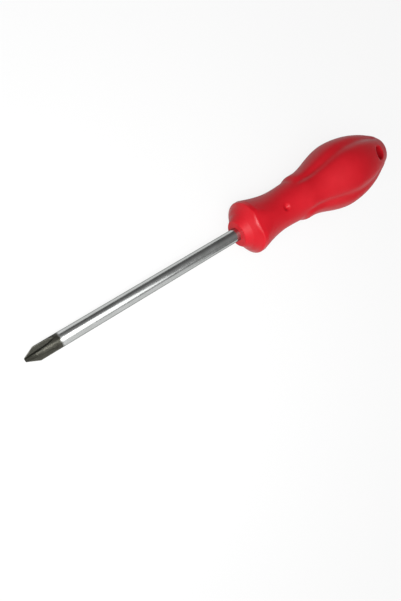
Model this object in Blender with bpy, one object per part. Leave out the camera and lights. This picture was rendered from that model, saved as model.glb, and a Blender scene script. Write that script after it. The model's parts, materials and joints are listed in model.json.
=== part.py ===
"""Cross-head screwdriver: a steel blade in a solid moulded plastic handle.

Each piece is modelled along its own axis: +X runs from the point to the butt, and +Z is the side of
the handle that carries the moulding gate. The finished tool then lies on the ground as it does on a
bench, on the lower flat of its guard and the lowest lobe of its grip.
"""

import math

import bmesh
import bpy
import numpy as np
from mathutils import Matrix, Vector

# Blade, in metres
SHANK_DIAMETER = 0.0060
BLADE_REACH = 0.1000  # from the blunt end of the point to the nose of the handle

# Cross point; angles in degrees
POINT_END_DIAMETER = 0.0015
POINT_HALF_ANGLE = 26.5
FLUTE_COUNT = 4
FLUTE_OPENING_ANGLE = 92.0
FLUTE_FLOOR_ROUNDING = 0.0005
FLUTE_FLOOR_RADIUS = 0.0008  # distance of the floor from the axis at the blunt end
FLUTE_FLOOR_SLOPE = 5.75
FLUTE_STRAIGHT_LENGTH = 0.0085
FLUTE_CUTTER_RADIUS = 0.0080  # the milling cutter leaves this arc where the flute runs out

# Tang inside the handle
TANG_END_CHAMFER = 0.0008
TANG_TO_HOLE_WEB = 0.0180  # plastic left between the tang and the hanging hole
EAR_SPREAD = 0.0086
EAR_THICKNESS = 0.0018
EAR_LENGTH = 0.0090
EAR_RAMP = 0.0015
EAR_PITCH = 0.0160
EAR_TO_TANG_END = 0.0060
SEAT_CLEARANCE = 0.0003  # between the tang and the plastic round it

# Nose and guard of the handle; setbacks are measured from the nose
NOSE_DIAMETER = 0.0120
NOSE_EDGE_ROUNDING = 0.0007
STEP_DIAMETER = 0.0168
STEP_SETBACK = 0.0029
STEP_ROUNDING = 0.0008
GUARD_DIAMETER = 0.0249
GUARD_SETBACK = 0.0057
GUARD_EDGE_ROUNDING = 0.0009
GUARD_WIDTH = 0.0019
GUARD_BACK_ANGLE = 16.0
GUARD_FLAT_DEPTH = 0.00085

# Grip; diameters are those at the floors of the flutes between the lobes
HANDLE_LENGTH = 0.0971
NECK_DIAMETER = 0.0189
NECK_SETBACK = 0.0247
WAIST_DIAMETER = 0.0202
WAIST_SETBACK = 0.0410
BULGE_DIAMETER = 0.0309
BULGE_SETBACK = 0.0660
TAIL_DIAMETER = 0.0199
TAIL_INSET = 0.0071  # from the butt
TAIL_ANGLE = 24.0
TAIL_FULLNESS = 0.0039  # how far the tail runs on straight before it rounds into the butt
BUTT_FACE_DIAMETER = 0.0060
BUTT_FULLNESS = 0.0059  # the longer this is, the flatter the butt and the tighter its edge

# Lobes; the side lobes start with a short step, the top and bottom ones rise gently out of the neck
LOBE_COUNT = 4
LOBE_HEIGHT = 0.0011
SIDE_LOBE_SETBACK = 0.0342
SIDE_LOBE_RAMP = 0.0043
TOP_LOBE_SETBACK = 0.0290
TOP_LOBE_RAMP = 0.0160
FLUTE_NARROWNESS = 8.0  # 1 is a plain cosine; more gives wider lobes and narrower flutes
FLUTE_RUN_OUT = 0.0090  # length over which the flutes fade out towards the butt

# Details
GATE_DIMPLE_DIAMETER = 0.0039
GATE_DIMPLE_DEPTH = 0.0010
GATE_DIMPLE_SETBACK = 0.0240
HANGING_HOLE_DIAMETER = 0.0070
HANGING_HOLE_INSET = 0.0126  # from the butt to the centre of the hole

# Fineness of the meshes
BLADE_SIDES = 48
HANDLE_SIDES = 72
FLUTE_SIDE_CROWDING = 0.09  # how far the handle's sides crowd towards the flutes
HOLE_SIDES = 48
RING_SPACING = 0.0021
ARC_STEPS = 5
CUT_MARGIN = 0.0020  # how far a cutter reaches past the surface that it cuts
SHARP_EDGE_ANGLE = 32.0


def hanging_hole_x():
    """Distance of the hanging hole from the point."""
    return BLADE_REACH + HANDLE_LENGTH - HANGING_HOLE_INSET


def tang_end_x():
    """Distance of the tang's rear end from the point."""
    return hanging_hole_x() - HANGING_HOLE_DIAMETER / 2 - TANG_TO_HOLE_WEB


def hermite(x, start, end):
    """Radius at x on the smooth curve between two stations, each (x, radius, slope)."""
    span = end[0] - start[0]
    t = (x - start[0]) / span
    from_start = (1 + 2 * t) * (1 - t) ** 2 * start[1] + t * (1 - t) ** 2 * span * start[2]
    from_end = t * t * (3 - 2 * t) * end[1] + t * t * (t - 1) * span * end[2]
    return from_start + from_end


def smooth_step(t):
    """0 before t = 0, 1 after t = 1 and an S curve between them."""
    t = min(max(t, 0.0), 1.0)
    return t * t * (3 - 2 * t)


def grip_stations():
    """Stations of the grip behind the guard, each (setback, radius, slope)."""
    guard_back = GUARD_SETBACK + GUARD_WIDTH
    return [
        (guard_back, GUARD_DIAMETER / 2, -math.tan(math.radians(GUARD_BACK_ANGLE))),
        (NECK_SETBACK, NECK_DIAMETER / 2, 0.0),
        (WAIST_SETBACK, WAIST_DIAMETER / 2, 0.0),
        (BULGE_SETBACK, BULGE_DIAMETER / 2, 0.0),
        (HANDLE_LENGTH - TAIL_INSET, TAIL_DIAMETER / 2, -math.tan(math.radians(TAIL_ANGLE))),
    ]


def rounded_corner(before, corner, after, rounding):
    """Points of the arc that rounds a corner of an outline."""
    to_before = (before - corner).normalized()
    to_after = (after - corner).normalized()
    half_angle = to_before.angle(to_after) / 2
    reach = rounding / math.tan(half_angle)
    centre = corner + (to_before + to_after).normalized() * (rounding / math.sin(half_angle))
    first = (corner + to_before * reach - centre).normalized()
    last = (corner + to_after * reach - centre).normalized()
    points = []
    for step in range(ARC_STEPS + 1):
        points.append(centre + rounding * first.slerp(last, step / ARC_STEPS))
    return points


def nose_outline():
    """The nose and guard in section: (setback, radius) points from the nose face to the guard's back."""
    corners = [
        Vector((0.0, SHANK_DIAMETER / 2)),
        Vector((0.0, NOSE_DIAMETER / 2)),
        Vector((STEP_SETBACK, STEP_DIAMETER / 2)),
        Vector((GUARD_SETBACK, GUARD_DIAMETER / 2)),
        Vector((GUARD_SETBACK + GUARD_WIDTH, GUARD_DIAMETER / 2)),
    ]
    roundings = [NOSE_EDGE_ROUNDING, STEP_ROUNDING, GUARD_EDGE_ROUNDING]
    outline = []
    for index, rounding in enumerate(roundings, start=1):
        outline += rounded_corner(corners[index - 1], corners[index], corners[index + 1], rounding)
    return outline


def grip_outline():
    """The grip in section at a flute's floor, from the guard's back to the tail."""
    outline = []
    stations = grip_stations()
    for start, end in zip(stations, stations[1:]):
        steps = max(2, round((end[0] - start[0]) / RING_SPACING))
        for step in range(steps):
            setback = start[0] + (end[0] - start[0]) * step / steps
            outline.append(Vector((setback, hermite(setback, start, end))))
    return outline


def butt_outline():
    """The rounded butt, a lobe's height under its surface: from the tail to the butt face's edge."""
    tail = Vector((HANDLE_LENGTH - TAIL_INSET, TAIL_DIAMETER / 2))
    tail_slope = Vector((1.0, -math.tan(math.radians(TAIL_ANGLE))))
    face_edge = Vector((HANDLE_LENGTH, BUTT_FACE_DIAMETER / 2 - LOBE_HEIGHT))
    tail_handle = tail + tail_slope * TAIL_FULLNESS
    face_handle = face_edge + Vector((0.0, BUTT_FULLNESS))
    outline = []
    steps = 2 * ARC_STEPS
    for step in range(steps + 1):
        t = step / steps
        point = tail * (1 - t) ** 3 + tail_handle * (3 * t * (1 - t) ** 2)
        point += face_handle * (3 * t * t * (1 - t)) + face_edge * t ** 3
        outline.append(point)
    return outline


def lobe_height(setback, angle):
    """How far the surface stands above the floor of a flute, at a place on the handle."""
    side = smooth_step((setback - SIDE_LOBE_SETBACK) / SIDE_LOBE_RAMP)
    top = smooth_step((setback - TOP_LOBE_SETBACK) / TOP_LOBE_RAMP)
    front = top + (side - top) * math.sin(angle) ** 2
    valley = (0.5 - 0.5 * math.cos(LOBE_COUNT * angle)) ** FLUTE_NARROWNESS
    run_out = smooth_step((HANDLE_LENGTH - setback) / FLUTE_RUN_OUT)
    return LOBE_HEIGHT * front * (1 - valley * run_out)


def top_radius(setback):
    """Radius of the handle between guard and tail, on the crest of the top lobe."""
    stations = grip_stations()
    for start, end in zip(stations, stations[1:]):
        if setback <= end[0]:
            return hermite(setback, start, end) + lobe_height(setback, 0.0)
    return TAIL_DIAMETER / 2


def handle_section(setback, floor_radius):
    """One closed section of the handle, with its lobes."""
    points = []
    for side in range(HANDLE_SIDES):
        angle = 2 * math.pi * side / HANDLE_SIDES
        angle += FLUTE_SIDE_CROWDING * math.sin(LOBE_COUNT * angle)
        radius = floor_radius + lobe_height(setback, angle)
        points.append(
            Vector((BLADE_REACH + setback, radius * math.sin(angle), radius * math.cos(angle)))
        )
    return points


def add_loft(mesh_builder, sections):
    """Join closed sections of equal point count into a capped solid."""
    rings = []
    for section in sections:
        rings.append([mesh_builder.verts.new(point) for point in section])
    count = len(rings[0])
    for ring, following in zip(rings, rings[1:]):
        for index in range(count):
            after = (index + 1) % count
            mesh_builder.faces.new((ring[index], ring[after], following[after], following[index]))
    mesh_builder.faces.new(rings[0])
    mesh_builder.faces.new(rings[-1])


def finish_object(name, mesh_builder, tool_axis):
    """Turn a finished mesh into a smooth-shaded object on the tool's axis."""
    bmesh.ops.recalc_face_normals(mesh_builder, faces=mesh_builder.faces)
    mesh = bpy.data.meshes.new(name)
    mesh_builder.to_mesh(mesh)
    mesh_builder.free()
    mesh.shade_smooth()
    mesh.set_sharp_from_angle(angle=math.radians(SHARP_EDGE_ANGLE))
    piece = bpy.data.objects.new(name, mesh)
    bpy.context.scene.collection.objects.link(piece)
    piece.parent = tool_axis
    return piece


def turned_object(name, outline, sides, tool_axis):
    """A solid of revolution round the X axis, from (x, radius) points."""
    sections = []
    for x, radius in outline:
        section = []
        for side in range(sides):
            angle = 2 * math.pi * side / sides
            section.append(Vector((x, radius * math.sin(angle), radius * math.cos(angle))))
        sections.append(section)
    mesh_builder = bmesh.new()
    add_loft(mesh_builder, sections)
    return finish_object(name, mesh_builder, tool_axis)


def hide_tool(piece):
    """Mark a body as a cutter or helper that is no part of the tool."""
    piece.hide_render = True
    piece.display_type = 'WIRE'


def apply_boolean(piece, other, operation):
    """Cut another body out of a piece, or join it on."""
    modifier = piece.modifiers.new(other.name, 'BOOLEAN')
    modifier.operation = operation
    modifier.solver = 'EXACT'
    modifier.object = other
    hide_tool(other)


def flute_floor(x):
    """Distance of a flute's floor from the axis: a gentle ramp, then the cutter's run-out arc."""
    slope = math.radians(FLUTE_FLOOR_SLOPE)
    if x <= FLUTE_STRAIGHT_LENGTH:
        return FLUTE_FLOOR_RADIUS + x * math.tan(slope)
    ramp_end = FLUTE_FLOOR_RADIUS + FLUTE_STRAIGHT_LENGTH * math.tan(slope)
    along = FLUTE_CUTTER_RADIUS * math.sin(slope) + x - FLUTE_STRAIGHT_LENGTH
    drop = math.sqrt(max(FLUTE_CUTTER_RADIUS ** 2 - along ** 2, 0.0))
    return ramp_end + FLUTE_CUTTER_RADIUS * math.cos(slope) - drop


def flute_section(x):
    """Section of the form cutter at x: a V with a rounded floor, open towards +Z."""
    half_angle = math.radians(FLUTE_OPENING_ANGLE / 2)
    centre = flute_floor(x) + FLUTE_FLOOR_ROUNDING
    top = SHANK_DIAMETER / 2 + CUT_MARGIN
    tangent = math.pi / 2 - half_angle
    points = []
    for step in range(ARC_STEPS + 1):
        angle = tangent * (2 * step / ARC_STEPS - 1)
        across = FLUTE_FLOOR_ROUNDING * math.sin(angle)
        points.append(Vector((x, across, centre - FLUTE_FLOOR_ROUNDING * math.cos(angle))))
    wall_foot = points[-1]
    half_width = wall_foot.y + max(top - wall_foot.z, 0.0) * math.tan(half_angle)
    points.append(Vector((x, half_width, max(top, wall_foot.z))))
    points.append(Vector((x, -half_width, max(top, wall_foot.z))))
    return points


def make_flute_cutter(tool_axis):
    """The material milled away between the wings of the cross point."""
    run_out_end = FLUTE_STRAIGHT_LENGTH
    while flute_floor(run_out_end) < SHANK_DIAMETER / 2 + CUT_MARGIN / 4:
        run_out_end += FLUTE_CUTTER_RADIUS / 100
    stations = [-CUT_MARGIN, FLUTE_STRAIGHT_LENGTH]
    steps = 2 * ARC_STEPS
    for step in range(1, steps + 1):
        stations.append(FLUTE_STRAIGHT_LENGTH + (run_out_end - FLUTE_STRAIGHT_LENGTH) * step / steps)
    mesh_builder = bmesh.new()
    for flute in range(FLUTE_COUNT):
        turn = Matrix.Rotation(2 * math.pi * (flute + 0.5) / FLUTE_COUNT, 4, 'X')
        add_loft(mesh_builder, [[turn @ point for point in flute_section(x)] for x in stations])
    return finish_object("flute_cutter", mesh_builder, tool_axis)


def make_ears(name, grow, tool_axis):
    """The two pairs of pressed ears on the tang, grown all round by a clearance."""
    mesh_builder = bmesh.new()
    root = SHANK_DIAMETER * 0.4
    tip = EAR_SPREAD / 2 + grow
    half_thickness = EAR_THICKNESS / 2 + grow
    for pair in range(2):
        rear = tang_end_x() - EAR_TO_TANG_END - EAR_PITCH * pair + grow
        front = rear - EAR_LENGTH - 2 * grow
        outline = [
            (front, -root),
            (front + EAR_RAMP, -tip),
            (rear - EAR_RAMP, -tip),
            (rear, -root),
            (rear, root),
            (rear - EAR_RAMP, tip),
            (front + EAR_RAMP, tip),
            (front, root),
        ]
        turn = Matrix.Rotation(math.pi / 2 * pair, 4, 'X')
        sections = []
        for side in (-half_thickness, half_thickness):
            sections.append([turn @ Vector((x, side, z)) for x, z in outline])
        add_loft(mesh_builder, sections)
    return finish_object(name, mesh_builder, tool_axis)


def make_blade(tool_axis):
    """Steel blade: cross point, round shank and the tang with its ears."""
    shank_radius = SHANK_DIAMETER / 2
    end_radius = POINT_END_DIAMETER / 2
    shoulder = (shank_radius - end_radius) / math.tan(math.radians(POINT_HALF_ANGLE))
    outline = [
        (0.0, end_radius),
        (shoulder, shank_radius),
        (BLADE_REACH, shank_radius),
        (tang_end_x() - TANG_END_CHAMFER, shank_radius),
        (tang_end_x(), shank_radius - TANG_END_CHAMFER),
    ]
    blade = turned_object("blade", outline, BLADE_SIDES, tool_axis)
    apply_boolean(blade, make_flute_cutter(tool_axis), 'DIFFERENCE')
    apply_boolean(blade, make_ears("tang_ears", 0.0, tool_axis), 'UNION')
    return blade


def make_bore_cutter(tool_axis):
    """The room for the tang inside the handle."""
    radius = SHANK_DIAMETER / 2 + SEAT_CLEARANCE
    outline = [
        (BLADE_REACH - CUT_MARGIN, radius),
        (tang_end_x() + SEAT_CLEARANCE, radius),
    ]
    bore = turned_object("bore_cutter", outline, BLADE_SIDES, tool_axis)
    apply_boolean(bore, make_ears("ear_slot_cutter", SEAT_CLEARANCE, tool_axis), 'UNION')
    return bore


def make_guard_flat_cutter(tool_axis):
    """Two slabs that leave the anti-roll flats above and below the guard."""
    flat_height = GUARD_DIAMETER / 2 - GUARD_FLAT_DEPTH
    half_width = GUARD_DIAMETER / 2
    front = BLADE_REACH - CUT_MARGIN
    rear = BLADE_REACH + NECK_SETBACK
    mesh_builder = bmesh.new()
    for side in (-1, 1):
        sections = []
        for height in (flat_height, GUARD_DIAMETER / 2 + CUT_MARGIN):
            z = side * height
            sections.append([
                Vector((front, -half_width, z)),
                Vector((rear, -half_width, z)),
                Vector((rear, half_width, z)),
                Vector((front, half_width, z)),
            ])
        add_loft(mesh_builder, sections)
    return finish_object("guard_flat_cutter", mesh_builder, tool_axis)


def make_gate_dimple_cutter(tool_axis):
    """A ball that leaves the shallow dimple of the moulding gate on top of the neck."""
    half = GATE_DIMPLE_DIAMETER / 2
    ball_radius = (half ** 2 + GATE_DIMPLE_DEPTH ** 2) / (2 * GATE_DIMPLE_DEPTH)
    height = top_radius(GATE_DIMPLE_SETBACK) - GATE_DIMPLE_DEPTH + ball_radius
    mesh_builder = bmesh.new()
    bmesh.ops.create_uvsphere(mesh_builder, u_segments=24, v_segments=16, radius=ball_radius)
    centre = Vector((BLADE_REACH + GATE_DIMPLE_SETBACK, 0.0, height))
    bmesh.ops.translate(mesh_builder, verts=mesh_builder.verts, vec=centre)
    return finish_object("gate_dimple_cutter", mesh_builder, tool_axis)


def make_hanging_hole_cutter(tool_axis):
    """A round bar across the tail of the grip, from the top lobe to the bottom one."""
    half_length = BULGE_DIAMETER / 2 + LOBE_HEIGHT + CUT_MARGIN
    mesh_builder = bmesh.new()
    bmesh.ops.create_cone(
        mesh_builder,
        cap_ends=True,
        segments=HOLE_SIDES,
        radius1=HANGING_HOLE_DIAMETER / 2,
        radius2=HANGING_HOLE_DIAMETER / 2,
        depth=2 * half_length,
    )
    centre = Vector((hanging_hole_x(), 0.0, 0.0))
    bmesh.ops.translate(mesh_builder, verts=mesh_builder.verts, vec=centre)
    return finish_object("hanging_hole_cutter", mesh_builder, tool_axis)


def make_handle(tool_axis):
    """Solid moulded handle: nose, guard, neck, lobed grip and hanging hole."""
    outline = nose_outline() + grip_outline() + butt_outline()
    mesh_builder = bmesh.new()
    add_loft(mesh_builder, [handle_section(setback, radius) for setback, radius in outline])
    handle = finish_object("handle", mesh_builder, tool_axis)
    apply_boolean(handle, make_guard_flat_cutter(tool_axis), 'DIFFERENCE')
    apply_boolean(handle, make_gate_dimple_cutter(tool_axis), 'DIFFERENCE')
    apply_boolean(handle, make_hanging_hole_cutter(tool_axis), 'DIFFERENCE')
    apply_boolean(handle, make_bore_cutter(tool_axis), 'DIFFERENCE')
    return handle


def give_material(piece, colour, roughness, metallic):
    """Give a piece its own plain material."""
    material = bpy.data.materials.new(piece.name)
    material.use_nodes = True
    shader = material.node_tree.nodes["Principled BSDF"]
    shader.inputs["Base Color"].default_value = (*colour, 1.0)
    shader.inputs["Roughness"].default_value = roughness
    shader.inputs["Metallic"].default_value = metallic
    piece.data.materials.append(material)


def mesh_points(pieces):
    """All points of the finished pieces in world space."""
    bpy.context.view_layer.update()
    depsgraph = bpy.context.evaluated_depsgraph_get()
    points = []
    for piece in pieces:
        evaluated = piece.evaluated_get(depsgraph)
        mesh = evaluated.to_mesh()
        points += [evaluated.matrix_world @ vertex.co for vertex in mesh.vertices]
        evaluated.to_mesh_clear()
    return np.array(points)


def resting_tilt(points):
    """Angle between the axis and the ground when guard and grip both touch it."""
    front = points[points[:, 0] < BLADE_REACH + NECK_SETBACK]
    rear = points[points[:, 0] > BLADE_REACH + NECK_SETBACK]
    low, high = 0.0, 1.0
    for _ in range(60):
        slope = (low + high) / 2
        front_height = np.min(front[:, 2] + slope * front[:, 0])
        rear_height = np.min(rear[:, 2] + slope * rear[:, 0])
        if front_height < rear_height:
            high = slope
        else:
            low = slope
    return math.atan(slope)


def lay_on_ground(tool_axis, pieces):
    """Tilt the tool until it rests on guard and grip, and put the origin under its middle."""
    tool_axis.rotation_euler.y = -resting_tilt(mesh_points(pieces))
    points = mesh_points(pieces)
    lowest = points.min(axis=0)
    highest = points.max(axis=0)
    middle = (lowest + highest) / 2
    tool_axis.location = Vector((-middle[0], -middle[1], -lowest[2]))
    bpy.context.view_layer.update()


def main():
    for leftover in list(bpy.data.objects):
        bpy.data.objects.remove(leftover, do_unlink=True)
    tool_axis = bpy.data.objects.new("tool_axis", None)
    bpy.context.scene.collection.objects.link(tool_axis)
    blade = make_blade(tool_axis)
    handle = make_handle(tool_axis)
    give_material(blade, (0.62, 0.62, 0.60), 0.22, 1.0)
    give_material(handle, (0.62, 0.010, 0.020), 0.38, 0.0)
    lay_on_ground(tool_axis, [blade, handle])


main()
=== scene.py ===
"""Looks of the cross-head screwdriver: fine meshes, finishes, floor, light and camera."""

import json
import math

import bmesh
import bpy
from mathutils import Euler, Matrix, Vector


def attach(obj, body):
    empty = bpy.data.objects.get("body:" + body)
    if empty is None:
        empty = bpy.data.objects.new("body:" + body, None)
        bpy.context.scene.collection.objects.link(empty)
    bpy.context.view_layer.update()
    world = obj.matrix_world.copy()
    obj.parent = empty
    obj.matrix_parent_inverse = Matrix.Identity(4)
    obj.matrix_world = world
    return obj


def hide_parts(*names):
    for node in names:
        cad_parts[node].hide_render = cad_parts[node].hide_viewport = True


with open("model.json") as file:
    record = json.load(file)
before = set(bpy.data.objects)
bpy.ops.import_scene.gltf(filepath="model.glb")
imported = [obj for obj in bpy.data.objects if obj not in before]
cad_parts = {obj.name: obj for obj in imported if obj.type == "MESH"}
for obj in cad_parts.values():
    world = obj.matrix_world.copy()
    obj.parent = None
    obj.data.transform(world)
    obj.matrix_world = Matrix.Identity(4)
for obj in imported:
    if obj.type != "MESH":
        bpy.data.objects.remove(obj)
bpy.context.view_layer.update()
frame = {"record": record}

# Blade, in metres; angles in degrees
SHANK_DIAMETER = 0.0060
BLADE_REACH = 0.1000  # from the blunt end of the point to the nose of the handle
POINT_END_DIAMETER = 0.0015
POINT_END_ROUNDING = 0.00025
POINT_HALF_ANGLE = 26.5
POINT_SHOULDER_ROUNDING = 0.0008
FLUTE_COUNT = 4
FLUTE_OPENING_ANGLE = 92.0
FLUTE_FLOOR_ROUNDING = 0.0005
FLUTE_FLOOR_RADIUS = 0.0008  # distance of the floor from the axis at the blunt end
FLUTE_FLOOR_SLOPE = 5.75
FLUTE_STRAIGHT_LENGTH = 0.0085
FLUTE_CUTTER_RADIUS = 0.0080  # the milling cutter leaves this arc where the flute runs out
TANG_DEPTH = 0.0600
BORE_CLEARANCE = 0.00003

# Nose and guard of the handle; setbacks are measured from the nose
NOSE_DIAMETER = 0.0120
NOSE_EDGE_ROUNDING = 0.0007
STEP_DIAMETER = 0.0168
STEP_SETBACK = 0.0029
STEP_ROUNDING = 0.0008
GUARD_DIAMETER = 0.0249
GUARD_SETBACK = 0.0057
GUARD_EDGE_ROUNDING = 0.0009
GUARD_WIDTH = 0.0019
GUARD_BACK_ANGLE = 16.0
GUARD_FLAT_DEPTH = 0.00085
FLAT_EDGE_SOFTNESS = 0.0012  # the edge is rounded where flat and cone lie closer than this
FLAT_MAX_TURN = 60.0  # a flat reaches less than this far round from its middle

# Grip; diameters are those at the floors of the flutes between the lobes
HANDLE_LENGTH = 0.0971
NECK_DIAMETER = 0.0189
NECK_SETBACK = 0.0247
WAIST_DIAMETER = 0.0202
WAIST_SETBACK = 0.0410
BULGE_DIAMETER = 0.0309
BULGE_SETBACK = 0.0660
TAIL_DIAMETER = 0.0199
TAIL_INSET = 0.0071  # from the butt
TAIL_ANGLE = 24.0
TAIL_FULLNESS = 0.0039  # how far the tail runs on straight before it rounds into the butt
BUTT_FACE_DIAMETER = 0.0060
BUTT_FULLNESS = 0.0059  # the longer this is, the flatter the butt and the tighter its edge

# Lobes; the side ones start with a short step, the top and bottom ones rise gently
LOBE_COUNT = 4
LOBE_HEIGHT = 0.0011
SIDE_LOBE_SETBACK = 0.0342
SIDE_LOBE_RAMP = 0.0043
TOP_LOBE_SETBACK = 0.0290
TOP_LOBE_RAMP = 0.0160
FLUTE_NARROWNESS = 8.0  # 1 is a plain cosine; more gives wider lobes and narrower flutes
FLUTE_RUN_OUT = 0.0090  # length over which the flutes fade out towards the butt

# Details of the moulding
GATE_DIMPLE_DIAMETER = 0.0044
GATE_DIMPLE_DEPTH = 0.0012
GATE_DIMPLE_SETBACK = 0.0236
HANGING_HOLE_DIAMETER = 0.0070
HANGING_HOLE_INSET = 0.0126  # from the butt to the centre of the hole
HOLE_LIP = 0.0007  # width of the rolled-over rim round the hole

# Fineness of the meshes
HANDLE_SIDES = 288
RING_SPACING = 0.00034
SHANK_RING_STRIDE = 12  # the plain shank keeps one ring in this many
ARC_STEPS = 10
BUTT_STEPS = 40
RUN_OUT_STEPS = 40
BLADE_SIDES = 128
HOLE_SIDES = 128
CUT_MARGIN = 0.0020  # how far a cutter reaches past the surface that it cuts
HANDLE_SHARP_ANGLE = 35.0
BLADE_SHARP_ANGLE = 28.0

# Camera, placed in the tool's own frame; angles in degrees
CAMERA_POSITION = (0.01234, 0.01945, 0.15231)
CAMERA_TURN = (-0.6540, -24.0112, -30.4036)
FOCAL_LENGTH_PIXELS = 389.28
IMAGE_HEIGHT_PIXELS = 601
SENSOR_WIDTH = 36.0
NEAREST_SEEN = 0.01

# Red plastic; colours are linear, lengths in metres
PLASTIC_DEEP = (0.550, 0.0052, 0.0135)
PLASTIC_BRIGHT = (0.610, 0.0066, 0.0165)
PLASTIC_SCUFFED = (0.640, 0.060, 0.070)
PLASTIC_ROUGHNESS = (0.43, 0.53)
PLASTIC_POLISH = 0.15  # how much less rough the plastic is where it is polished
PLASTIC_IOR = 1.46
PLASTIC_SPECULAR = 0.36
PLASTIC_TINT_SPAN = (0.32, 0.68)  # of the clouding
PLASTIC_SATIN_SPAN = (0.75, 1.25)  # of the clouding plus the grain
GATE_POLISH_REACH = 1.2  # in radii of the gate dimple
RIPPLE_SCALE = (160.0, 420.0, 420.0)  # features in a metre along and across the tool
SCUFF_SCALE = (240.0, 3800.0, 3800.0)
SCUFF_SPAN = (0.60, 0.72)
SCUFF_TINT = 0.10
SCUFF_ROUGHNESS = 0.08
RIPPLE_BUMP = (0.25, 0.00010)  # strength and depth
GRAIN_BUMP = (0.22, 0.00004)
SCUFF_BUMP = (0.15, 0.00002)

# Plated steel and black oxide
STEEL_DULL = (0.515, 0.530, 0.520)
STEEL_BRIGHT = (0.580, 0.590, 0.585)
STEEL_EDGE = (0.22, 0.23, 0.22, 1.0)  # tint of the mirroring where it is seen edge-on
STEEL_ROUGHNESS = (0.17, 0.27)
STEEL_TINT_SPAN = (0.3, 0.7)  # of the clouding
STEEL_SATIN_SPAN = (0.7, 1.3)  # of the streaks plus the clouding
STREAK_SCALE = (90.0, 4200.0, 4200.0)  # features in a metre along and across the tool
OXIDE_BLACK = (0.018, 0.0177, 0.0140)
OXIDE_MILLED = (0.032, 0.0313, 0.0252)
OXIDE_WORN = (0.075, 0.0735, 0.0600)
OXIDE_REACH = 0.0140  # from the point
OXIDE_FADE = 0.0006
OXIDE_WAVER = 0.0004
OXIDE_WAVER_SPAN = (0.3, 0.7)
OXIDE_PATCH_SPAN = (0.12, 0.40)  # of the grain times the clouding
OXIDE_METALLIC = 0.5
OXIDE_ROUGHNESS = (0.06, 0.24)  # added to the steel's: on the turned lands, in the milled flutes
FLUTE_MASK_DEPTHS = (0.00006, 0.00030)
STREAK_BUMP = (0.30, 0.00001)  # strength and depth
CLOUDING_BUMP = (0.20, 0.00006)
PITTING_BUMP = (0.35, 0.00003)

# Floor, surround and lamps; a level of 1 renders a white surface white
WHITE = (1.0, 1.0, 1.0, 1.0)
FLOOR_COLOUR = (0.92, 0.92, 0.92, 1.0)
FLOOR_HALF_SIZE = 1.5
FLOOR_GLOW_SHARE = 0.86  # the rest of the floor takes the shadows
SKY_BRIGHT_SIDE = (-0.664, -0.242, 0.707)
SKY_FACING_RANGE = (0.05, 0.95)
SKY_LEVELS = (0.12, 0.50)
HORIZON_HEIGHTS = (0.0, 0.16)
HORIZON_LEVELS = (0.80, 0.12)
KEY_LIGHT = {"place": (-0.045, 0.005, 0.170), "width": 0.050, "length": 0.190, "radiance": 10.5}
TOP_LIGHT = {"place": (0.018, -0.036, 0.190), "width": 0.200, "length": 0.230, "radiance": 1.72}
SIDE_LIGHT = {"place": (0.060, -0.450, 0.180), "width": 0.500, "length": 0.360, "radiance": 0.68}


def mount_pose(name):
    """Place and outward direction of one of the record's mounts."""
    for mount in frame["record"]["mounts"]:
        if mount["name"] == name:
            return Vector(mount["pos_m"]), Vector(mount["axis"]).normalized()
    raise ValueError(name)


def tool_matrix():
    """The tool's own frame: origin at the point, +X to the butt, +Z the side with the gate."""
    origin, forward = mount_pose("point_end")
    upward = mount_pose("guard_flat_top")[1]
    along = -forward
    across = upward.cross(along)
    matrix = Matrix((along, across, upward)).transposed().to_4x4()
    matrix.translation = origin
    return matrix


TOOL = tool_matrix()


# Curves and outlines

def hermite(x, start, end):
    """Radius at x on the smooth curve between two stations, each (x, radius, slope)."""
    span = end[0] - start[0]
    t = (x - start[0]) / span
    from_start = (1 + 2 * t) * (1 - t) ** 2 * start[1] + t * (1 - t) ** 2 * span * start[2]
    from_end = t * t * (3 - 2 * t) * end[1] + t * t * (t - 1) * span * end[2]
    return from_start + from_end


def smooth_step(t):
    """0 before t = 0, 1 after t = 1 and an S curve between them."""
    t = min(max(t, 0.0), 1.0)
    return t * t * (3 - 2 * t)


def soft_min(a, b, softness):
    """The smaller of two values, rounded off where they differ by less than the softness."""
    closeness = max(softness - abs(a - b), 0.0) / softness
    return min(a, b) - closeness ** 2 * softness / 4


def grip_stations():
    """Stations of the grip behind the guard, each (setback, radius, slope)."""
    guard_back = GUARD_SETBACK + GUARD_WIDTH
    return [
        (guard_back, GUARD_DIAMETER / 2, -math.tan(math.radians(GUARD_BACK_ANGLE))),
        (NECK_SETBACK, NECK_DIAMETER / 2, 0.0),
        (WAIST_SETBACK, WAIST_DIAMETER / 2, 0.0),
        (BULGE_SETBACK, BULGE_DIAMETER / 2, 0.0),
        (HANDLE_LENGTH - TAIL_INSET, TAIL_DIAMETER / 2, -math.tan(math.radians(TAIL_ANGLE))),
    ]


def rounded_corner(before, corner, after, rounding):
    """Points of the arc that rounds a corner of an outline."""
    to_before = (before - corner).normalized()
    to_after = (after - corner).normalized()
    half_angle = to_before.angle(to_after) / 2
    reach = rounding / math.tan(half_angle)
    centre = corner + (to_before + to_after).normalized() * (rounding / math.sin(half_angle))
    first = (corner + to_before * reach - centre).normalized()
    last = (corner + to_after * reach - centre).normalized()
    points = []
    for step in range(ARC_STEPS + 1):
        points.append(centre + rounding * first.slerp(last, step / ARC_STEPS))
    return points


def straight_run(start, end):
    """Points between two ends of a straight stretch, without the ends."""
    steps = max(1, round((end - start).length / RING_SPACING))
    return [start.lerp(end, step / steps) for step in range(1, steps)]


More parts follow.
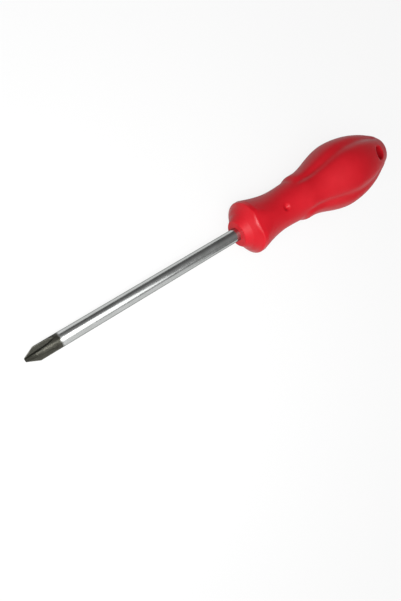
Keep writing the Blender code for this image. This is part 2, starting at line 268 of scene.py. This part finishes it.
def nose_outline():
    """The nose and guard in section: (setback, radius) points."""
    corners = [
        Vector((0.0, SHANK_DIAMETER / 2)),
        Vector((0.0, NOSE_DIAMETER / 2)),
        Vector((STEP_SETBACK, STEP_DIAMETER / 2)),
        Vector((GUARD_SETBACK, GUARD_DIAMETER / 2)),
        Vector((GUARD_SETBACK + GUARD_WIDTH, GUARD_DIAMETER / 2)),
    ]
    roundings = [NOSE_EDGE_ROUNDING, STEP_ROUNDING, GUARD_EDGE_ROUNDING]
    outline = []
    for index, rounding in enumerate(roundings, start=1):
        arc = rounded_corner(corners[index - 1], corners[index], corners[index + 1], rounding)
        if outline:
            outline += straight_run(outline[-1], arc[0])
        outline += arc
    return outline + straight_run(outline[-1], corners[-1])


def grip_outline():
    """The grip in section at a flute's floor, from the guard's back to the tail."""
    outline = []
    stations = grip_stations()
    for start, end in zip(stations, stations[1:]):
        steps = round((end[0] - start[0]) / RING_SPACING)
        for step in range(steps):
            setback = start[0] + (end[0] - start[0]) * step / steps
            outline.append(Vector((setback, hermite(setback, start, end))))
    return outline


def butt_outline():
    """The rounded butt in section, as floor radii, from the tail to the middle of its face."""
    tail = Vector((HANDLE_LENGTH - TAIL_INSET, TAIL_DIAMETER / 2))
    tail_slope = Vector((1.0, -math.tan(math.radians(TAIL_ANGLE))))
    face_edge = Vector((HANDLE_LENGTH, BUTT_FACE_DIAMETER / 2 - LOBE_HEIGHT))
    tail_handle = tail + tail_slope * TAIL_FULLNESS
    face_handle = face_edge + Vector((0.0, BUTT_FULLNESS))
    outline = []
    for step in range(BUTT_STEPS + 1):
        t = step / BUTT_STEPS
        point = tail * (1 - t) ** 3 + tail_handle * (3 * t * (1 - t) ** 2)
        point += face_handle * (3 * t * t * (1 - t)) + face_edge * t ** 3
        outline.append(point)
    return outline


# Surface of the handle

def lobe_height(setback, angle):
    """How far the surface stands above a flute's floor; the side lobes start with a step."""
    side = smooth_step((setback - SIDE_LOBE_SETBACK) / SIDE_LOBE_RAMP)
    top = smooth_step((setback - TOP_LOBE_SETBACK) / TOP_LOBE_RAMP)
    front = top + (side - top) * math.sin(angle) ** 2
    valley = (0.5 - 0.5 * math.cos(LOBE_COUNT * angle)) ** FLUTE_NARROWNESS
    run_out = smooth_step((HANDLE_LENGTH - setback) / FLUTE_RUN_OUT)
    return LOBE_HEIGHT * front * (1 - valley * run_out)


def gate_depth(setback, angle, radius):
    """Depth of the rounded gate dimple at a place on the neck."""
    across = radius * math.sin(angle)
    distance = math.hypot(setback - GATE_DIMPLE_SETBACK, across)
    half = GATE_DIMPLE_DIAMETER / 2
    if math.cos(angle) < 0 or distance > half:
        return 0.0
    return GATE_DIMPLE_DEPTH * (0.5 + 0.5 * math.cos(math.pi * distance / half))


def lip_drop(setback, angle, radius):
    """How far the surface curves inwards where it rolls over into the hanging hole."""
    across = radius * math.sin(angle)
    hole_centre = HANDLE_LENGTH - HANGING_HOLE_INSET
    beyond = math.hypot(setback - hole_centre, across) - HANGING_HOLE_DIAMETER / 2
    inward = min(max(HOLE_LIP - beyond, 0.0), 2 * HOLE_LIP)
    return inward ** 2 / (2 * HOLE_LIP)


def surface_radius(setback, floor_radius, angle):
    """Radius of the finished handle at a place on it."""
    radius = floor_radius + lobe_height(setback, angle)
    flat = GUARD_DIAMETER / 2 - GUARD_FLAT_DEPTH
    upright = abs(math.cos(angle))
    if setback < NECK_SETBACK and upright > math.cos(math.radians(FLAT_MAX_TURN)):
        radius = soft_min(radius, flat / upright, FLAT_EDGE_SOFTNESS)
    if abs(setback - GATE_DIMPLE_SETBACK) < GATE_DIMPLE_DIAMETER / 2:
        radius -= gate_depth(setback, angle, radius)
    if setback > BULGE_SETBACK:
        radius -= lip_drop(setback, angle, radius)
    return radius


def handle_section(setback, floor_radius):
    """One closed ring of points round the handle."""
    points = []
    for side in range(HANDLE_SIDES):
        angle = 2 * math.pi * side / HANDLE_SIDES
        radius = surface_radius(setback, floor_radius, angle)
        x = BLADE_REACH + setback
        points.append(Vector((x, radius * math.sin(angle), radius * math.cos(angle))))
    return points


# Building of meshes

def add_loft(mesh_builder, sections):
    """Join closed sections of equal point count into a capped solid."""
    rings = [[mesh_builder.verts.new(point) for point in section] for section in sections]
    count = len(rings[0])
    for ring, following in zip(rings, rings[1:]):
        for index in range(count):
            after = (index + 1) % count
            mesh_builder.faces.new((ring[index], ring[after], following[after], following[index]))
    mesh_builder.faces.new(rings[0])
    mesh_builder.faces.new(rings[-1])


def finish_object(name, mesh_builder):
    """Turn a mesh that was built in the tool's own frame into an object in the shared frame."""
    bmesh.ops.recalc_face_normals(mesh_builder, faces=mesh_builder.faces)
    mesh = bpy.data.meshes.new(name)
    mesh_builder.to_mesh(mesh)
    mesh_builder.free()
    mesh.transform(TOOL)
    piece = bpy.data.objects.new(name, mesh)
    bpy.context.scene.collection.objects.link(piece)
    return piece


def smooth_shade(piece, sharp_angle):
    """Shade a piece smooth, but keep edges steeper than an angle in degrees."""
    piece.data.shade_smooth()
    piece.data.set_sharp_from_angle(angle=math.radians(sharp_angle))


def turned_object(name, outline, sides):
    """A solid of revolution round the X axis, from (x, radius) points."""
    sections = []
    for x, radius in outline:
        section = []
        for side in range(sides):
            angle = 2 * math.pi * side / sides
            section.append(Vector((x, radius * math.sin(angle), radius * math.cos(angle))))
        sections.append(section)
    mesh_builder = bmesh.new()
    add_loft(mesh_builder, sections)
    return finish_object(name, mesh_builder)


def cut(piece, cutter):
    """Cut a body out of a piece for good, and delete the cutter."""
    modifier = piece.modifiers.new("cut", 'BOOLEAN')
    modifier.operation = 'DIFFERENCE'
    modifier.solver = 'EXACT'
    modifier.object = cutter
    bpy.context.view_layer.update()
    depsgraph = bpy.context.evaluated_depsgraph_get()
    mesh = bpy.data.meshes.new_from_object(piece.evaluated_get(depsgraph))
    piece.modifiers.clear()
    piece.data = mesh
    bpy.data.objects.remove(cutter)


# Handle

def make_hole_cutter():
    """A round bar across the tail of the grip."""
    half_length = BULGE_DIAMETER / 2 + LOBE_HEIGHT + CUT_MARGIN
    mesh_builder = bmesh.new()
    bmesh.ops.create_cone(
        mesh_builder,
        cap_ends=True,
        segments=HOLE_SIDES,
        radius1=HANGING_HOLE_DIAMETER / 2,
        radius2=HANGING_HOLE_DIAMETER / 2,
        depth=2 * half_length,
    )
    centre = Vector((BLADE_REACH + HANDLE_LENGTH - HANGING_HOLE_INSET, 0.0, 0.0))
    bmesh.ops.translate(mesh_builder, verts=mesh_builder.verts, vec=centre)
    return finish_object("hole_cutter", mesh_builder)


def make_handle():
    """The moulded handle as one fine mesh."""
    outline = nose_outline() + grip_outline() + butt_outline()
    mesh_builder = bmesh.new()
    add_loft(mesh_builder, [handle_section(setback, radius) for setback, radius in outline])
    handle = finish_object("handle_moulding", mesh_builder)
    cut(handle, make_hole_cutter())
    bore_radius = SHANK_DIAMETER / 2 + BORE_CLEARANCE
    bore_end = BLADE_REACH + TANG_DEPTH + CUT_MARGIN
    bore = [(BLADE_REACH - CUT_MARGIN, bore_radius), (bore_end, bore_radius)]
    cut(handle, turned_object("bore_cutter", bore, BLADE_SIDES))
    smooth_shade(handle, HANDLE_SHARP_ANGLE)
    return handle


# Blade

def flute_floor(x):
    """Distance of a flute's floor from the axis: a gentle ramp, then the cutter's run-out arc."""
    slope = math.radians(FLUTE_FLOOR_SLOPE)
    if x <= FLUTE_STRAIGHT_LENGTH:
        return FLUTE_FLOOR_RADIUS + x * math.tan(slope)
    ramp_end = FLUTE_FLOOR_RADIUS + FLUTE_STRAIGHT_LENGTH * math.tan(slope)
    along = FLUTE_CUTTER_RADIUS * math.sin(slope) + x - FLUTE_STRAIGHT_LENGTH
    drop = math.sqrt(max(FLUTE_CUTTER_RADIUS ** 2 - along ** 2, 0.0))
    return ramp_end + FLUTE_CUTTER_RADIUS * math.cos(slope) - drop


def flute_section(x):
    """Section of the form cutter at x: a V with a rounded floor, open towards +Z."""
    half_angle = math.radians(FLUTE_OPENING_ANGLE / 2)
    centre = flute_floor(x) + FLUTE_FLOOR_ROUNDING
    top = SHANK_DIAMETER / 2 + CUT_MARGIN
    tangent = math.pi / 2 - half_angle
    points = []
    for step in range(ARC_STEPS + 1):
        angle = tangent * (2 * step / ARC_STEPS - 1)
        across = FLUTE_FLOOR_ROUNDING * math.sin(angle)
        points.append(Vector((x, across, centre - FLUTE_FLOOR_ROUNDING * math.cos(angle))))
    wall_foot = points[-1]
    half_width = wall_foot.y + max(top - wall_foot.z, 0.0) * math.tan(half_angle)
    points.append(Vector((x, half_width, max(top, wall_foot.z))))
    points.append(Vector((x, -half_width, max(top, wall_foot.z))))
    return points


def make_flute_cutter():
    """The material milled away between the wings of the cross point."""
    clear_of_shank = SHANK_DIAMETER / 2 + CUT_MARGIN / 4
    search_step = FLUTE_CUTTER_RADIUS / 100
    run_out_end = FLUTE_STRAIGHT_LENGTH
    while flute_floor(run_out_end) < clear_of_shank:
        run_out_end += search_step
    stations = [-CUT_MARGIN, FLUTE_STRAIGHT_LENGTH]
    run_out = run_out_end - FLUTE_STRAIGHT_LENGTH
    for step in range(1, RUN_OUT_STEPS + 1):
        stations.append(FLUTE_STRAIGHT_LENGTH + run_out * step / RUN_OUT_STEPS)
    mesh_builder = bmesh.new()
    for flute in range(FLUTE_COUNT):
        turn = Matrix.Rotation(2 * math.pi * (flute + 0.5) / FLUTE_COUNT, 4, 'X')
        add_loft(mesh_builder, [[turn @ point for point in flute_section(x)] for x in stations])
    return finish_object("flute_cutter", mesh_builder)


def make_blade():
    """The steel blade as one fine mesh; inside the handle it stays a plain round bar."""
    end_radius = POINT_END_DIAMETER / 2
    shank_radius = SHANK_DIAMETER / 2
    point_length = (shank_radius - end_radius) / math.tan(math.radians(POINT_HALF_ANGLE))
    middle = Vector((0.0, 0.0))
    end_edge = Vector((0.0, end_radius))
    shoulder = Vector((point_length, shank_radius))
    shank_end = Vector((BLADE_REACH + TANG_DEPTH, shank_radius))
    outline = rounded_corner(middle, end_edge, shoulder, POINT_END_ROUNDING)
    outline += rounded_corner(end_edge, shoulder, shank_end, POINT_SHOULDER_ROUNDING)
    outline += straight_run(outline[-1], shank_end)[::SHANK_RING_STRIDE]
    outline.append(shank_end)
    blade = turned_object("blade_bar", outline, BLADE_SIDES)
    cut(blade, make_flute_cutter())
    smooth_shade(blade, BLADE_SHARP_ANGLE)
    return blade


# Shader nodes

def new_material(name):
    """A node material, with its tree and its Principled shader."""
    material = bpy.data.materials.new(name)
    material.use_nodes = True
    return material, material.node_tree, material.node_tree.nodes["Principled BSDF"]


def add_node(tree, kind, settings=None, values=None, sources=None):
    """A node with its settings, its fixed input values and the sockets that feed its inputs."""
    node = tree.nodes.new(kind)
    for name, value in (settings or {}).items():
        setattr(node, name, value)
    for key, value in (values or {}).items():
        node.inputs[key].default_value = value
    for key, socket in (sources or {}).items():
        tree.links.new(socket, node.inputs[key])
    return node


def tool_coordinates(tree):
    """Texture coordinates in the tool's own frame, in metres."""
    place = add_node(tree, "ShaderNodeTexCoord")
    values = {"Location": TOOL.to_translation(), "Rotation": TOOL.to_euler()}
    settings = {"vector_type": 'TEXTURE'}
    sources = {"Vector": place.outputs["Object"]}
    mapping = add_node(tree, "ShaderNodeMapping", settings, values, sources)
    return mapping.outputs["Vector"]


def separated(tree, vector):
    """The X, Y and Z sockets of a vector."""
    return add_node(tree, "ShaderNodeSeparateXYZ", None, None, {"Vector": vector}).outputs


def vector_math(tree, operation, vector, constant=None):
    """The outputs of a Vector Math node that works on a vector and, if given, a constant."""
    settings = {"operation": operation}
    values = None if constant is None else {1: constant}
    return add_node(tree, "ShaderNodeVectorMath", settings, values, {0: vector}).outputs


def stretched(tree, vector, scale):
    """Coordinates scaled differently along and across the tool, for drawn-out patterns."""
    return vector_math(tree, 'MULTIPLY', vector, scale)["Vector"]


def noise(tree, vector, scale=1.0, detail=3.0, roughness=0.5):
    """Fractal noise between about 0 and 1."""
    values = {"Scale": scale, "Detail": detail, "Roughness": roughness}
    node = add_node(tree, "ShaderNodeTexNoise", None, values, {"Vector": vector})
    return node.outputs["Fac"]


def mapped(tree, value, from_range, to_range=(0.0, 1.0), smooth=False):
    """A value moved from one range to another and kept inside it."""
    values = {
        "From Min": from_range[0],
        "From Max": from_range[1],
        "To Min": to_range[0],
        "To Max": to_range[1],
    }
    settings = {"interpolation_type": 'SMOOTHSTEP' if smooth else 'LINEAR'}
    node = add_node(tree, "ShaderNodeMapRange", settings, values, {"Value": value})
    return node.outputs["Result"]


def combined(tree, operation, *items):
    """One or two values or sockets worked on by a Math node."""
    node = add_node(tree, "ShaderNodeMath", {"operation": operation})
    for index, item in enumerate(items):
        if isinstance(item, float):
            node.inputs[index].default_value = item
        else:
            tree.links.new(item, node.inputs[index])
    return node.outputs["Value"]


def blended_colour(tree, factor, first, second):
    """A colour between two, each a fixed colour or a socket."""
    node = add_node(tree, "ShaderNodeMix", {"data_type": 'RGBA'}, None, {0: factor})
    first_socket, second_socket = [socket for socket in node.inputs if socket.type == 'RGBA']
    for socket, item in ((first_socket, first), (second_socket, second)):
        if isinstance(item, tuple):
            socket.default_value = (*item, 1.0)
        else:
            tree.links.new(item, socket)
    return next(socket for socket in node.outputs if socket.type == 'RGBA')


def add_bump(tree, shader, layers):
    """Stack bump layers, each (height socket, strength, depth in metres), under a shader."""
    normal = None
    for height, strength, depth in layers:
        values = {"Strength": strength, "Distance": depth}
        bump = add_node(tree, "ShaderNodeBump", None, values, {"Height": height})
        if normal is not None:
            tree.links.new(normal, bump.inputs["Normal"])
        normal = bump.outputs["Normal"]
    tree.links.new(normal, shader.inputs["Normal"])


# Finishes

def polish_mask(tree, place):
    """1 where the plastic is polished: along the guard's rubbed rim and in the gate dimple."""
    rim_middle = BLADE_REACH + GUARD_SETBACK
    beyond_rim = combined(tree, 'SUBTRACT', separated(tree, place)["X"], rim_middle)
    from_rim = combined(tree, 'ABSOLUTE', beyond_rim)
    rim = mapped(tree, from_rim, (GUARD_WIDTH / 2, GUARD_WIDTH), (1.0, 0.0), smooth=True)
    gate_middle = (BLADE_REACH + GATE_DIMPLE_SETBACK, 0.0, NECK_DIAMETER / 2)
    from_gate = vector_math(tree, 'DISTANCE', place, gate_middle)["Value"]
    half = GATE_DIMPLE_DIAMETER / 2
    gate = mapped(tree, from_gate, (half, GATE_POLISH_REACH * half), (1.0, 0.0), smooth=True)
    return combined(tree, 'MAXIMUM', rim, gate)


def plastic_material():
    """Red plastic, coloured through: a fine moulded grain, faint clouding and light scuffs."""
    material, tree, shader = new_material("red_plastic")
    place = tool_coordinates(tree)
    clouding = noise(tree, place, scale=90.0, detail=4.0)
    grain = noise(tree, place, scale=2600.0, detail=3.0, roughness=0.6)
    ripple = noise(tree, stretched(tree, place, RIPPLE_SCALE), detail=2.0)
    scuffs = noise(tree, stretched(tree, place, SCUFF_SCALE), detail=3.0, roughness=0.7)
    scuff_marks = mapped(tree, scuffs, SCUFF_SPAN, smooth=True)
    tint = mapped(tree, clouding, PLASTIC_TINT_SPAN)
    body = blended_colour(tree, tint, PLASTIC_DEEP, PLASTIC_BRIGHT)
    scuff_tint = combined(tree, 'MULTIPLY', scuff_marks, SCUFF_TINT)
    colour = blended_colour(tree, scuff_tint, body, PLASTIC_SCUFFED)
    tree.links.new(colour, shader.inputs["Base Color"])
    unevenness = combined(tree, 'ADD', clouding, grain)
    moulded = mapped(tree, unevenness, PLASTIC_SATIN_SPAN, PLASTIC_ROUGHNESS)
    scuffed = combined(tree, 'MULTIPLY', scuff_marks, SCUFF_ROUGHNESS)
    roughness = combined(tree, 'ADD', moulded, scuffed)
    polish = combined(tree, 'MULTIPLY', polish_mask(tree, place), PLASTIC_POLISH)
    roughness = combined(tree, 'SUBTRACT', roughness, polish)
    tree.links.new(roughness, shader.inputs["Roughness"])
    shader.inputs["IOR"].default_value = PLASTIC_IOR
    shader.inputs["Specular IOR Level"].default_value = PLASTIC_SPECULAR
    layers = [(ripple, *RIPPLE_BUMP), (grain, *GRAIN_BUMP), (scuff_marks, *SCUFF_BUMP)]
    add_bump(tree, shader, layers)
    return material


def flute_mask(tree, place):
    """1 on the milled walls of the point's flutes and 0 on the turned surface of the bar."""
    split = separated(tree, place)
    sources = {"Y": split["Y"], "Z": split["Z"]}
    across = add_node(tree, "ShaderNodeCombineXYZ", None, None, sources)
    radius = vector_math(tree, 'LENGTH', across.outputs["Vector"])["Value"]
    slope = math.tan(math.radians(POINT_HALF_ANGLE))
    growth = combined(tree, 'MULTIPLY', split["X"], slope)
    cone = combined(tree, 'ADD', growth, POINT_END_DIAMETER / 2)
    turned = combined(tree, 'MINIMUM', cone, SHANK_DIAMETER / 2)
    depth = combined(tree, 'SUBTRACT', turned, radius)
    return mapped(tree, depth, FLUTE_MASK_DEPTHS, smooth=True)


def steel_material():
    """Satin plated steel, drawn lengthwise, with black oxide on the milled point."""
    material, tree, shader = new_material("plated_steel")
    place = tool_coordinates(tree)
    along = separated(tree, place)["X"]
    streaks = noise(tree, stretched(tree, place, STREAK_SCALE), detail=4.0, roughness=0.6)
    clouding = noise(tree, place, scale=220.0, detail=4.0)
    grain = noise(tree, place, scale=5200.0, detail=2.0)
    flutes = flute_mask(tree, place)
    waver = noise(tree, place, scale=700.0, detail=3.0)
    waver = mapped(tree, waver, OXIDE_WAVER_SPAN, (-OXIDE_WAVER, OXIDE_WAVER))
    reach = combined(tree, 'ADD', along, waver)
    oxide_end = (OXIDE_REACH - OXIDE_FADE, OXIDE_REACH + OXIDE_FADE)
    oxide = mapped(tree, reach, oxide_end, (1.0, 0.0), smooth=True)
    tint = mapped(tree, clouding, STEEL_TINT_SPAN)
    plated = blended_colour(tree, tint, STEEL_DULL, STEEL_BRIGHT)
    patches = combined(tree, 'MULTIPLY', grain, clouding)
    patchy = mapped(tree, patches, OXIDE_PATCH_SPAN)
    land = blended_colour(tree, patchy, OXIDE_BLACK, OXIDE_WORN)
    milled = blended_colour(tree, patchy, OXIDE_BLACK, OXIDE_MILLED)
    oxidised = blended_colour(tree, flutes, land, milled)
    tree.links.new(blended_colour(tree, oxide, plated, oxidised), shader.inputs["Base Color"])
    metallic = mapped(tree, oxide, (0.0, 1.0), (1.0, OXIDE_METALLIC))
    tree.links.new(metallic, shader.inputs["Metallic"])
    shader.inputs["Specular Tint"].default_value = STEEL_EDGE
    unevenness = combined(tree, 'ADD', streaks, clouding)
    satin = mapped(tree, unevenness, STEEL_SATIN_SPAN, STEEL_ROUGHNESS)
    matt = mapped(tree, flutes, (0.0, 1.0), OXIDE_ROUGHNESS)
    roughness = combined(tree, 'ADD', satin, combined(tree, 'MULTIPLY', oxide, matt))
    tree.links.new(roughness, shader.inputs["Roughness"])
    pitting = combined(tree, 'MULTIPLY', grain, oxide)
    layers = [(streaks, *STREAK_BUMP), (clouding, *CLOUDING_BUMP), (pitting, *PITTING_BUMP)]
    add_bump(tree, shader, layers)
    return material


def use_material(piece, material):
    """Give a piece its one material."""
    piece.data.materials.clear()
    piece.data.materials.append(material)


# Floor, lamps, surround and camera

def make_floor():
    """A plain white floor that stays white to the camera and keeps a soft shadow."""
    mesh_builder = bmesh.new()
    bmesh.ops.create_grid(mesh_builder, x_segments=1, y_segments=1, size=FLOOR_HALF_SIZE)
    mesh = bpy.data.meshes.new("floor")
    mesh_builder.to_mesh(mesh)
    mesh_builder.free()
    floor = bpy.data.objects.new("floor", mesh)
    bpy.context.scene.collection.objects.link(floor)
    material = bpy.data.materials.new("floor_white")
    material.use_nodes = True
    tree = material.node_tree
    tree.nodes.clear()
    path = add_node(tree, "ShaderNodeLightPath").outputs
    seen = combined(tree, 'MAXIMUM', path["Is Camera Ray"], path["Is Glossy Ray"])
    seen = combined(tree, 'MAXIMUM', seen, path["Is Transmission Ray"])
    glow = add_node(tree, "ShaderNodeEmission", None, {"Color": WHITE}, {"Strength": seen})
    diffuse = add_node(tree, "ShaderNodeBsdfDiffuse", None, {"Color": FLOOR_COLOUR})
    mix = add_node(tree, "ShaderNodeMixShader", None, {0: FLOOR_GLOW_SHARE})
    tree.links.new(diffuse.outputs[0], mix.inputs[1])
    tree.links.new(glow.outputs[0], mix.inputs[2])
    output = add_node(tree, "ShaderNodeOutputMaterial")
    tree.links.new(mix.outputs[0], output.inputs["Surface"])
    mesh.materials.append(material)


def make_soft_box(name, place, width, length, radiance):
    """A rectangular lamp, evenly bright, aimed at the guard from a place in the tool's frame."""
    light = bpy.data.lights.new(name, 'AREA')
    light.shape = 'RECTANGLE'
    light.size = width
    light.size_y = length
    light.energy = radiance * math.pi * width * length
    lamp = bpy.data.objects.new(name, light)
    bpy.context.scene.collection.objects.link(lamp)
    away = (Vector(place) - Vector((BLADE_REACH, 0.0, 0.0))).normalized()
    turn = away.to_track_quat('Z', 'Y')
    lamp.matrix_world = TOOL @ Matrix.LocRotScale(Vector(place), turn, None)


def make_world():
    """A pale surround: bright at the horizon and above the point, dimmer behind the butt."""
    world = bpy.data.worlds.new("surround")
    bpy.context.scene.world = world
    world.use_nodes = True
    tree = world.node_tree
    direction = add_node(tree, "ShaderNodeTexCoord").outputs["Generated"]
    facing = vector_math(tree, 'DOT_PRODUCT', direction, SKY_BRIGHT_SIDE)["Value"]
    sky = mapped(tree, facing, SKY_FACING_RANGE, SKY_LEVELS)
    height = separated(tree, direction)["Z"]
    horizon = mapped(tree, height, HORIZON_HEIGHTS, HORIZON_LEVELS, smooth=True)
    level = combined(tree, 'MAXIMUM', sky, horizon)
    background = tree.nodes["Background"]
    background.inputs["Color"].default_value = WHITE
    tree.links.new(level, background.inputs["Strength"])


def make_camera():
    """The camera at the photograph's viewing angle."""
    camera_data = bpy.data.cameras.new("camera")
    camera_data.sensor_width = SENSOR_WIDTH
    camera_data.lens = FOCAL_LENGTH_PIXELS * SENSOR_WIDTH / IMAGE_HEIGHT_PIXELS
    camera_data.clip_start = NEAREST_SEEN
    camera = bpy.data.objects.new("camera", camera_data)
    bpy.context.scene.collection.objects.link(camera)
    turn = Euler([math.radians(angle) for angle in CAMERA_TURN])
    camera.matrix_world = TOOL @ Matrix.LocRotScale(Vector(CAMERA_POSITION), turn, None)
    bpy.context.scene.camera = camera


def main():
    """Make and dress the two pieces, then the floor, the surround and the lamps."""
    make_camera()
    handle = make_handle()
    blade = make_blade()
    use_material(handle, plastic_material())
    use_material(blade, steel_material())
    for piece, node in ((handle, "handle"), (blade, "blade")):
        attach(piece, "root")
        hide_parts(node)
    make_floor()
    make_world()
    make_soft_box("key_light", **KEY_LIGHT)
    make_soft_box("top_light", **TOP_LIGHT)
    make_soft_box("side_light", **SIDE_LIGHT)
    bpy.context.scene.view_settings.view_transform = 'Standard'


main()
